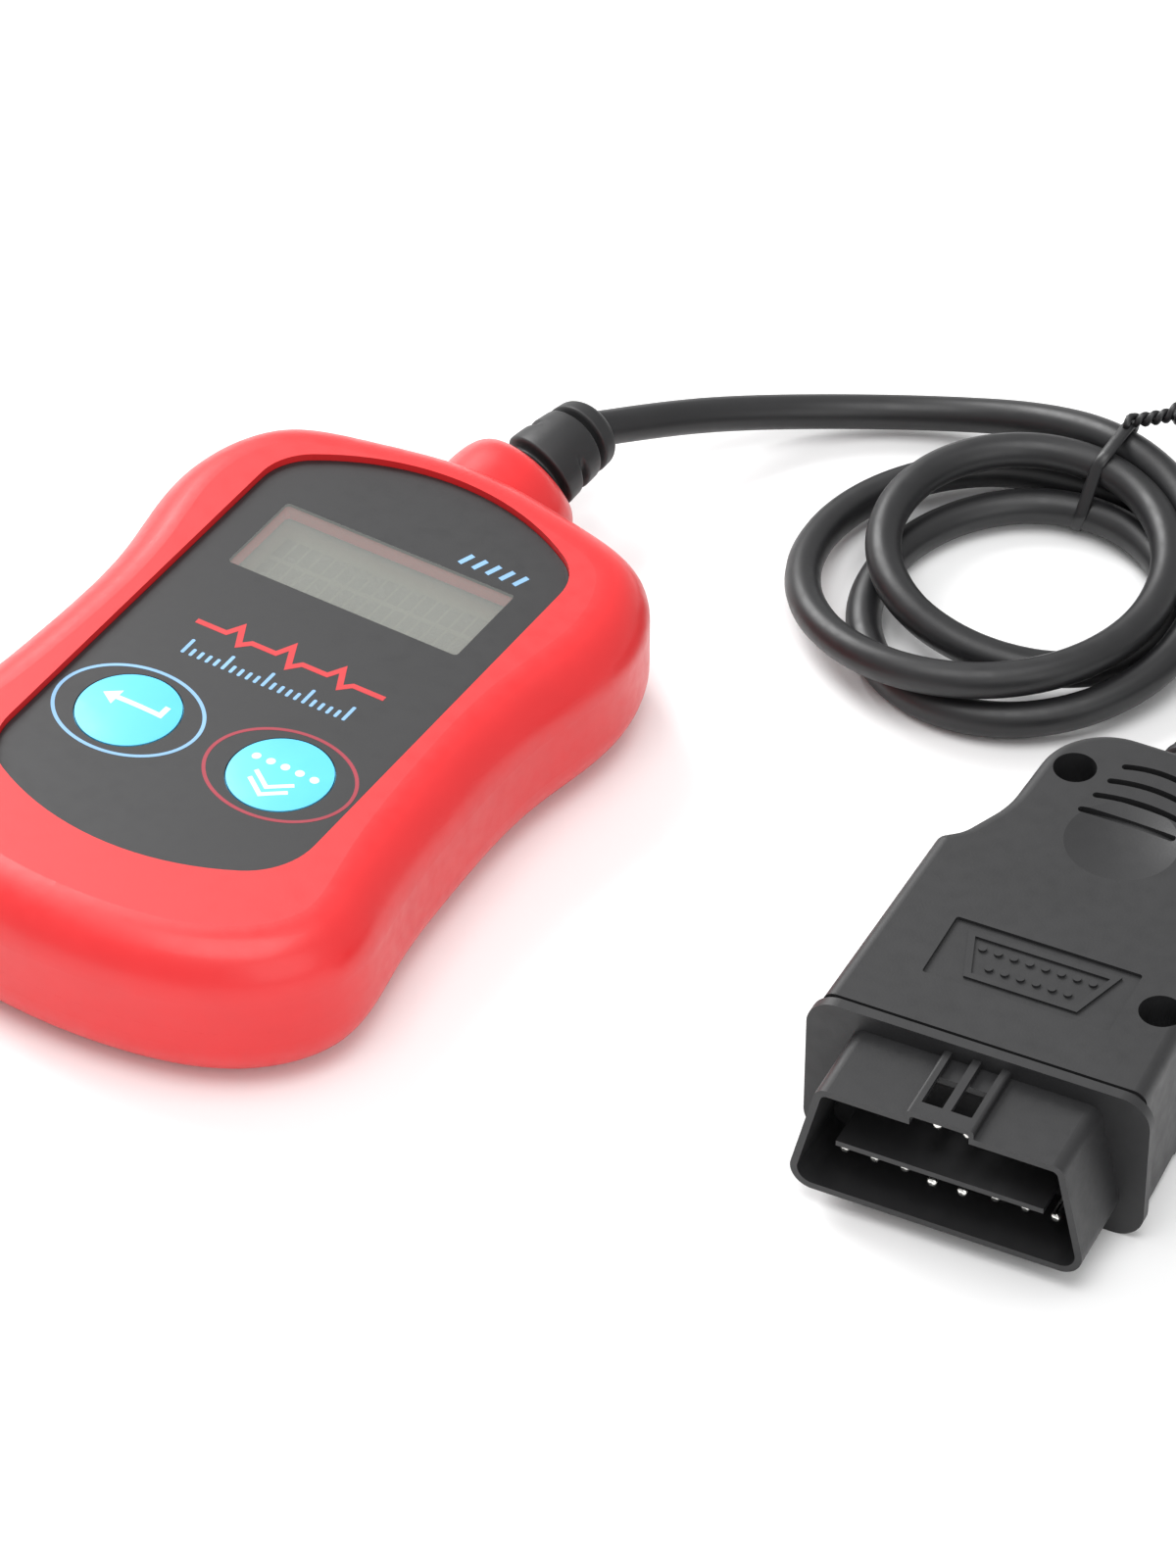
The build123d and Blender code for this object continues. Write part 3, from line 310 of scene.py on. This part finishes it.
def split_line(line, step):
    """The same line with points at most a step apart, so that it can follow a curved surface."""
    made = [line[0]]
    for start, end in zip(line, line[1:]):
        pieces = max(1, round(hypot(end[0] - start[0], end[1] - start[1]) / step))
        for i in range(1, pieces + 1):
            made.append(tuple(a + (b - a) * i / pieces for a, b in zip(start, end)))
    return made


def rounded_bar(x, y, width, height, radius, count=5):
    """The outline of a bar with round corners."""
    outline = []
    for corner, (sx, sy) in enumerate(((1, 1), (-1, 1), (-1, -1), (1, -1))):
        cx, cy = x + sx * (width / 2 - radius), y + sy * (height / 2 - radius)
        for i in range(count + 1):
            angle = (corner + i / count) * pi / 2
            outline.append((cx + radius * cos(angle), cy + radius * sin(angle)))
    return outline


def swept(centres, frames, section, closed=False, caps=True):
    """Rings of points round a line. section(k, angle_index) gives each ring's offsets across and up."""
    points, faces = [], []
    count = len(section(0))
    for k, (centre, (across, up)) in enumerate(zip(centres, frames)):
        points += [tuple(centre + across * u + up * v) for u, v in section(k)]
    rings = len(centres)
    for k in range(rings if closed else rings - 1):
        for i in range(count):
            j = (i + 1) % count
            a, b = k * count, (k + 1) % rings * count
            faces.append((a + i, a + j, b + j, b + i))
    if caps and not closed:
        faces.append(tuple(reversed(range(count))))
        faces.append(tuple((rings - 1) * count + i for i in range(count)))
    return points, faces


def frames_along(line, closed=False):
    """For each point of a line in space, two directions across it that turn as little as they can."""
    count = len(line)
    frames = []
    across = None
    for i in range(count):
        if closed:
            along = (line[(i + 1) % count] - line[i - 1]).normalized()
        else:
            along = (line[min(i + 1, count - 1)] - line[max(i - 1, 0)]).normalized()
        if across is None:
            across = along.orthogonal().normalized()
        across = (across - along * across.dot(along)).normalized()
        frames.append((across, along.cross(across)))
    return frames


# ------------------------------------------------------------------ cord
CORD_DIAMETER = 4.9
# The route from the handset's boot to the coil, and from the coil to the plug, in millimetres.
LEAD_ROUTE = [
    (1.7, 63.2, 11.8),
    (6.0, 71.9, 9.4),
    (12.1, 82.4, 6.3),
    (22.2, 93.6, 3.4),
    (35.5, 101.8, 3.2),
    (49.5, 105.0, 6.0),
]
TAIL_ROUTE = [
    (66.0, 100.2, 2.5),
    (79.0, 100.2, 2.55),
    (90.8, 94.4, 2.6),
    (98.8, 83.9, 3.6),
    (101.8, 71.2, 6.8),
    (102.4, 59.9, 10.4),
    (103.84, 48.64, 11.3),
]
# Three loose turns, clockwise from the side away from the handset: a quarter's centre, radius, height.
COIL_STEPS = 4
COIL_QUARTERS = [
    (62.0, 75.5, 27.5, 9.4),
    (64.0, 73.5, 24.0, 5.0),
    (65.0, 71.5, 23.1, 2.5),
    (65.2, 71.8, 20.6, 2.5),
    (64.0, 73.8, 20.4, 3.2),
    (62.4, 75.6, 20.9, 2.5),
    (61.8, 77.9, 19.7, 5.8),
    (62.2, 78.2, 19.7, 8.4),
    (61.9, 77.4, 20.4, 8.6),
    (60.8, 74.6, 22.0, 7.8),
    (60.0, 72.4, 25.2, 7.6),
    (59.8, 72.8, 25.4, 3.4),
    (60.5, 74.5, 25.0, 3.3),
]


def between(values, i, t):
    """A smooth value a share t of the way from entry i to the next one."""
    last = len(values) - 1
    a, b, c, d = (values[min(max(k, 0), last)] for k in range(i - 1, i + 3))
    return [
        0.5 * (2 * q + (r - p) * t + (2 * p - 5 * q + 4 * r - s) * t**2 + (3 * q - p - 3 * r + s) * t**3)
        for p, q, r, s in zip(a, b, c, d)
    ]


def coil_points():
    points = []
    for k in range((len(COIL_QUARTERS) - 1) * COIL_STEPS):
        quarter, step = divmod(k, COIL_STEPS)
        x, y, radius, z = between(COIL_QUARTERS, quarter, step / COIL_STEPS)
        angle = pi / 2 * (1 - k / COIL_STEPS)
        points.append((x + radius * cos(angle), y + radius * sin(angle), z))
    return points


def add_cord():
    route = LEAD_ROUTE + coil_points() + TAIL_ROUTE
    curve = bpy.data.curves.new("cord", "CURVE")
    curve.dimensions = "3D"
    spline = curve.splines.new("NURBS")
    spline.points.add(len(route) - 1)
    for point, place in zip(spline.points, route):
        point.co = (*(v * MM for v in place), 1)
    spline.order_u = 3
    spline.use_endpoint_u = True
    spline.use_smooth = True
    curve.resolution_u = 8
    curve.bevel_depth = CORD_DIAMETER / 2 * MM
    curve.bevel_resolution = 6
    curve.use_fill_caps = True
    curve.materials.append(JACKET)
    cord = link(bpy.data.objects.new("cord", curve))
    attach(cord, "handset")
    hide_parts("cord_lead", "cord_coil", "cord_tail")
    return cord


# ------------------------------------------------------------------ tie round the coil's strands
TIE_X = 62.5
TIE_STRANDS = [(94.2, 3.2), (97.8, 8.6), (99.5, 3.3), (103.0, 9.3)]


def tie_loop():
    """The line of a band pulled tight round the strands, seen along X, as y and z."""
    reach = CORD_DIAMETER / 2 + 0.35
    line = []
    count = 64
    for i in range(count):
        angle = 2 * pi * i / count
        out = Vector((cos(angle), sin(angle)))
        y, z = max(TIE_STRANDS, key=lambda s: out.dot(Vector(s)))
        line.append(Vector((y, max(z + reach * out.y, 0.45))) + Vector((reach * out.x, 0)))
    return line


def add_tie():
    loop = tie_loop()
    centres = []
    for i, at in enumerate(loop):
        lean = 0.9 * sin(2 * pi * i / len(loop))
        centres.append(Vector((TIE_X + lean, at.x, at.y)))
    frames = []
    for i, at in enumerate(centres):
        along = (centres[(i + 1) % len(centres)] - centres[i - 1]).normalized()
        across = Vector((1, 0, 0))
        across = (across - along * across.dot(along)).normalized()
        frames.append((across, across.cross(along)))
    flat = [(0.95 * cos(a), 0.42 * sin(a)) for a in (2 * pi * k / 12 for k in range(12))]
    shapes = [swept(centres, frames, lambda k: flat, closed=True)]
    # The two ends cross on top of the strands, turn round each other and splay.
    start, heading = Vector((TIE_X + 0.4, 103.8, 12.3)), Vector((0.80, 0.30, 0.22)).normalized()
    side = heading.cross(Vector((0, 0, 1))).normalized()
    rise = side.cross(heading)
    turns, length = 2.6, 7.6
    for end in (0, 1):
        line = []
        for k in range(45):
            t = k / 44
            angle = 2 * pi * turns * t + pi * end
            wide = 0.55 + 1.1 * max(0.0, t - 0.82) / 0.18 + 0.9 * max(0.0, 0.12 - t) / 0.12
            line.append(start + heading * length * t + (side * cos(angle) + rise * sin(angle)) * wide
                        + rise * 0.8 * t * t)
        round_section = [(0.5 * cos(a), 0.5 * sin(a)) for a in (2 * pi * k / 10 for k in range(10))]
        shapes.append(swept(line, frames_along(line), lambda k: round_section))
    tie = piece("tie", *joined_shapes(shapes), TIE, "handset", "tie_plastic")
    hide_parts("coil_tie")
    return tie


# ------------------------------------------------------------------ strain reliefs
BOOT_TURN = 15.0
BOOT_END_TURN = 5.0
BOOT_RISE = 21.0
BOOT_START = Vector((-0.06, 52.75, 10.0))
BOOT_LENGTH = 12.0
PLUG_FACE = Vector((113.8, -35.36, 0))
PLUG_YAW = 6.76
PLUG_MID_Z = 11.3
PLUG_END = 73.9
RELIEF_LENGTH = 12.0


def groove(distance, half_width, soft=0.22):
    """1 inside a groove and 0 outside it, with rounded edges."""
    return 1 / (1 + exp((abs(distance) - half_width) / soft * 2.2))


def boot_shape(line, radius_at, grooves, count=48):
    """A sleeve along a line: radius_at gives its radius; grooves are (along, half width, depth, side)."""
    frames = frames_along(line)
    length = sum((b - a).length for a, b in zip(line, line[1:]))

    def section(k):
        along = k / (len(line) - 1) * length
        offsets = []
        for i in range(count):
            angle = 2 * pi * i / count
            radius = radius_at(along)
            for at, half_width, depth, side in grooves:
                fade = 1.0
                if side is not None:
                    fade = 0.5 + 0.5 * min(1.0, max(-1.0, 3.2 * cos(angle - side) + 1.6))
                radius -= depth * fade * groove(along - at, half_width)
            offsets.append((radius * cos(angle), radius * sin(angle)))
        return offsets

    return swept(line, frames, section)


def rounded_end(along, length, radius, end_radius, round_length):
    """A sleeve's radius near its far end, which rounds over to meet the cable."""
    left = length - along
    if left >= round_length:
        return radius
    share = max(0.0, left / round_length)
    return end_radius + (radius - end_radius) * sqrt(max(0.0, 1 - (1 - share) ** 2))


def boot_line():
    line = [BOOT_START.copy()]
    steps = 110
    for k in range(steps):
        share = (k + 0.5) / steps
        turn = radians(BOOT_TURN + (BOOT_END_TURN - BOOT_TURN) * share)
        rise = radians(BOOT_RISE * (1 - share) ** 2)
        along = Vector((sin(turn) * cos(rise), cos(turn) * cos(rise), sin(rise)))
        line.append(line[-1] + along * BOOT_LENGTH / steps)
    return line


def in_plug(x, y, z):
    a = radians(PLUG_YAW)
    return PLUG_FACE + Vector((x * cos(a) - y * sin(a), x * sin(a) + y * cos(a), z))


def add_boots():
    def handset_radius(along):
        body = 6.05 - 0.09 * along
        return rounded_end(along, BOOT_LENGTH, body, 3.0, 1.5)

    grooves = [(0.9, 0.42, 1.6, None), (4.7, 0.38, 1.5, radians(150)), (8.4, 0.38, 1.4, radians(40))]
    shape = boot_shape(boot_line(), handset_radius, grooves)
    boot = piece("handset_boot", *shape, BOOT, "handset", "boot_rubber")
    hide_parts("strain_relief")

    def relief_radius(along):
        return rounded_end(along, RELIEF_LENGTH, 5.0 - 0.07 * along, 2.75, 1.2)

    line = [in_plug(0, PLUG_END - 0.6 + (RELIEF_LENGTH + 0.6) * k / 90, PLUG_MID_Z) for k in range(91)]
    grooves = [(3.0 + 2.6 * k, 0.4, 1.1, None) for k in range(4)]
    relief = piece("plug_boot", *boot_shape(line, relief_radius, grooves), BOOT, "handset", "boot_rubber")
    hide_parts("plug_strain_relief")
    return relief


# ------------------------------------------------------------------ printed marks and small details
PRINT_LOW = 20.66
PRINT_HIGH = 20.72
KEY_X = 11.64
KEY_Y = -25.15
RING_AXES = (10.3, 8.25)
KEY_TOP_Z = 21.1
KEY_CROWN_RADIUS = 68.2


def ring_line(x, y, a, b, count=96):
    return [(x + a * cos(2 * pi * i / count), y + b * sin(2 * pi * i / count)) for i in range(count)]


def add_prints():
    """Rings round the keys and plain marks where such a panel has its printing."""
    blue = [strip(ring_line(-KEY_X, KEY_Y, *RING_AXES), 0.5, PRINT_LOW, PRINT_HIGH, closed=True)]
    # A row of scale marks under the title zone.
    for i in range(21):
        x = -12.3 + 1.24 * i
        height = 3.0 if i % 5 == 0 else 1.5
        blue.append(plate(rounded_bar(x, -12.2 + height / 2, 0.5, height, 0.2, 3), PRINT_LOW, PRINT_HIGH))
    # Slanted bars in the corner above the display.
    for i in range(5):
        x = 8.2 + 2.1 * i
        blue.append(strip([(x, 22.0), (x + 0.8, 24.2)], 0.75, PRINT_LOW, PRINT_HIGH))
    piece("print_light_blue", *joined_shapes(blue), BLUE_INK, "handset", "overlay_film", smooth=False)
    # A test trace across the title zone.
    trace = [(-14.2, -5.9), (-9.6, -5.9), (-8.4, -3.9), (-6.9, -7.1), (-5.6, -5.9), (-1.9, -5.9),
             (-0.7, -3.6), (0.9, -7.3), (2.2, -5.9), (6.0, -5.9), (7.2, -3.9), (8.7, -7.1), (10.0, -5.9),
             (14.8, -5.9)]
    shape = strip(trace, 0.85, PRINT_LOW, PRINT_HIGH)
    piece("print_red", *shape, RED_INK, "handset", "overlay_film", smooth=False)
    ring = strip(ring_line(KEY_X, KEY_Y, *RING_AXES), 0.5, PRINT_LOW, PRINT_HIGH, closed=True)
    piece("print_dark_red", *ring, DARK_RED_INK, "handset", "overlay_film", smooth=False)


def on_crown(side, lift):
    """The height of a key's crowned face, plus a lift, over a place on it."""
    def height(x, y):
        distance = hypot(x - side * KEY_X, y - KEY_Y)
        return KEY_TOP_Z - KEY_CROWN_RADIUS + sqrt(KEY_CROWN_RADIUS**2 - distance**2) + lift
    return height


def add_key_legends():
    """A return arrow on the left key, and dots over a double chevron on the right one."""
    low, high = on_crown(-1, -0.06), on_crown(-1, 0.03)
    x, y = -KEY_X, KEY_Y + 1.0
    arrow = [
        strip(split_line([(x + 4.2, y + 1.9), (x + 4.2, y), (x - 2.6, y)], 0.6), 0.8, low, high),
        plate([(x - 4.6, y), (x - 2.4, y - 1.5), (x - 2.4, y + 1.5)], low, high),
    ]
    piece("enter_legend", *joined_shapes(arrow), WHITE_INK, "enter_button", "key_plastic", smooth=False)
    low, high = on_crown(1, -0.06), on_crown(1, 0.03)
    marks = [disc(KEY_X - 4.4 + 2.2 * i, KEY_Y + 1.2, 0.62, low, high) for i in range(5)]
    for drop in (0, 1.5):
        tip = KEY_Y - 3.2 - drop
        line = [(KEY_X - 2.9, tip + 2.1), (KEY_X, tip), (KEY_X + 2.9, tip + 2.1)]
        marks.append(strip(split_line(line, 0.6), 0.62, low, high))
    piece("scroll_legend", *joined_shapes(marks), WHITE_INK, "scroll_button", "key_plastic", smooth=False)


def add_display_cells():
    """Two rows of faint character cells in the display."""
    low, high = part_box("lcd_glass")
    top = high.z / MM
    middle_x, middle_y = (low.x + high.x) / 2 / MM, (low.y + high.y) / 2 / MM
    cells = []
    for row in range(2):
        for column in range(16):
            x = middle_x + (column - 7.5) * 2.0
            y = middle_y + (row - 0.5) * 4.6
            cells.append(plate(rounded_bar(x, y, 1.6, 3.8, 0.1, 2), top - 0.02, top + 0.015))
    piece("display_cells", *joined_shapes(cells), LCD_SEGMENT, "handset", "lcd_glass", smooth=False)


def add_plug_emblem():
    """A raised connector pictogram in the label pocket: the D-shaped outline with two rows of contacts."""
    floor, top = 22.1, 22.48
    outline = [(-9.1, 31.2), (10.1, 31.2), (7.7, 24.0), (-6.7, 24.0)]
    shapes = [strip(split_line(outline + outline[:1], 3.0)[:-1], 0.9, floor, top, closed=True)]
    for row, half_count in ((29.2, 3.5), (26.2, 2.5)):
        for i in range(int(2 * half_count + 1)):
            shapes.append(disc((i - half_count) * 2.1 + 0.5, row, 0.55, floor, top, 16))
    points, faces = joined_shapes(shapes)
    points = [in_plug(*p) for p in points]
    piece("plug_emblem", points, faces, PLUG, "handset", "plug_plastic", smooth=False)


def add_rear_label_print():
    """Plain ruled lines and a frame on the rear label."""
    low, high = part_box("rear_label")
    bottom = low.z / MM
    x, y = (low.x + high.x) / 2 / MM, (low.y + high.y) / 2 / MM
    width, length = (high.x - low.x) / MM, (high.y - low.y) / MM
    line = rounded_bar(x, y, width - 4, length - 4, 1.5)
    shapes = [strip(line, 0.4, bottom - 0.015, bottom + 0.02, closed=True)]
    for i in range(6):
        bar = rounded_bar(x, y + 14 - 4.4 * i, width - 12 - 3 * (i % 3), 0.9, 0.3, 2)
        shapes.append(plate(bar, bottom - 0.015, bottom + 0.02))
    piece("rear_label_print", *joined_shapes(shapes), GREY_INK, "handset", "label_paper", smooth=False)


add_studio()
add_camera()
dress_nodes()
cord = add_cord()
tie = add_tie()
plug_boot = add_boots()
add_prints()
add_key_legends()
add_display_cells()
add_plug_emblem()
add_rear_label_print()
